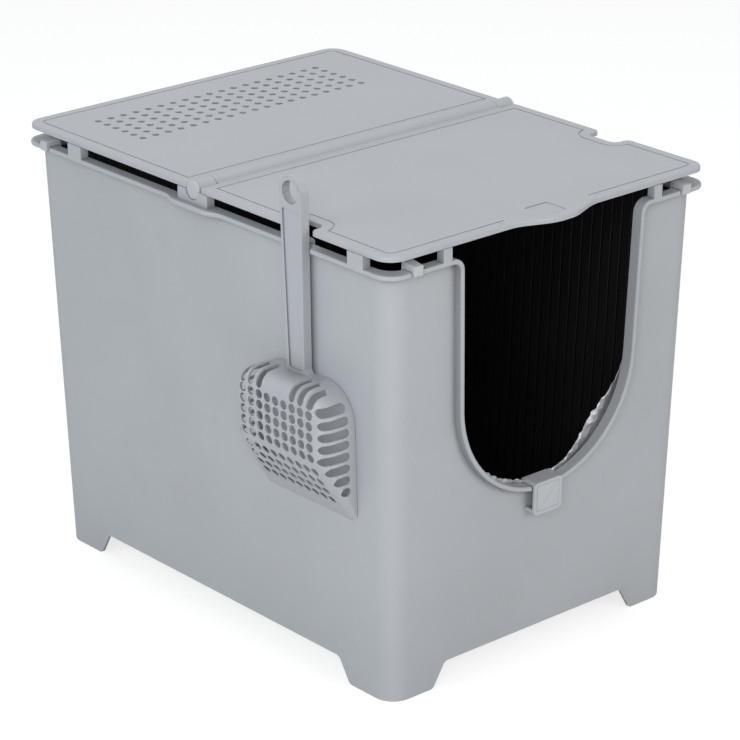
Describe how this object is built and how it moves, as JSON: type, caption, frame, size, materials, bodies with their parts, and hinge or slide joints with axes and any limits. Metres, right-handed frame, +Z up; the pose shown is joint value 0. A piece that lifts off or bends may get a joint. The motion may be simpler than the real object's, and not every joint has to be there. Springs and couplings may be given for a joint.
{
  "type": "litter box",
  "caption": "Tall grey plastic cat litter box with a round-bottomed front entry, two flip-up lids on one hinge line, a perforated rear lid, a lining, clips and a hanging sifting scoop",
  "frame": {"origin": "on the floor, under the middle of the tub", "axes": "+Z up, +Y from the entry to the rear, +X to the right of someone facing the entry"},
  "size_m": [0.4191, 0.5395, 0.4745],
  "materials": {
    "box_plastic": "satin, light cool grey",
    "clip_plastic": "satin, light cool grey",
    "scoop_plastic": "satin, light cool grey",
    "liner_film": "thin film, black inside and silvery outside"
  },
  "bodies": {
    "tub": {"tub": "box_plastic", "liner": "liner_film", "rim_clip_front_left": "clip_plastic", "rim_clip_front_right": "clip_plastic", "rim_clip_rear_left": "clip_plastic", "rim_clip_rear_right": "clip_plastic"},
    "hinge_pins": {"hinge_pin_left": "box_plastic", "hinge_pin_right": "box_plastic"},
    "front_lid": {"front_lid": "box_plastic"},
    "rear_lid": {"rear_lid": "box_plastic"},
    "entry_clip": {"entry_clip": "clip_plastic"},
    "scoop": {"scoop": "scoop_plastic"}
  },
  "joints": [
    {"name": "lid_lift", "type": "slide", "parent": "tub", "child": "hinge_pins", "axis": [0, 0, 1], "range_m": [0, 0.1]},
    {"name": "front_lid_hinge", "type": "hinge", "parent": "hinge_pins", "child": "front_lid", "pos_m": [0, 0.003, 0.4245], "axis": [1, 0, 0], "range_deg": [-128, 0]},
    {"name": "rear_lid_hinge", "type": "hinge", "parent": "hinge_pins", "child": "rear_lid", "pos_m": [0, 0.003, 0.4245], "axis": [1, 0, 0], "range_deg": [0, 128]},
    {"name": "entry_clip_lift", "type": "slide", "parent": "tub", "child": "entry_clip", "axis": [0, -0.0262, 0.9997], "range_m": [0, 0.06]},
    {"name": "scoop_lift", "type": "slide", "parent": "tub", "child": "scoop", "axis": [-0.0262, 0, 0.9997], "range_m": [0, 0.1]}
  ]
}
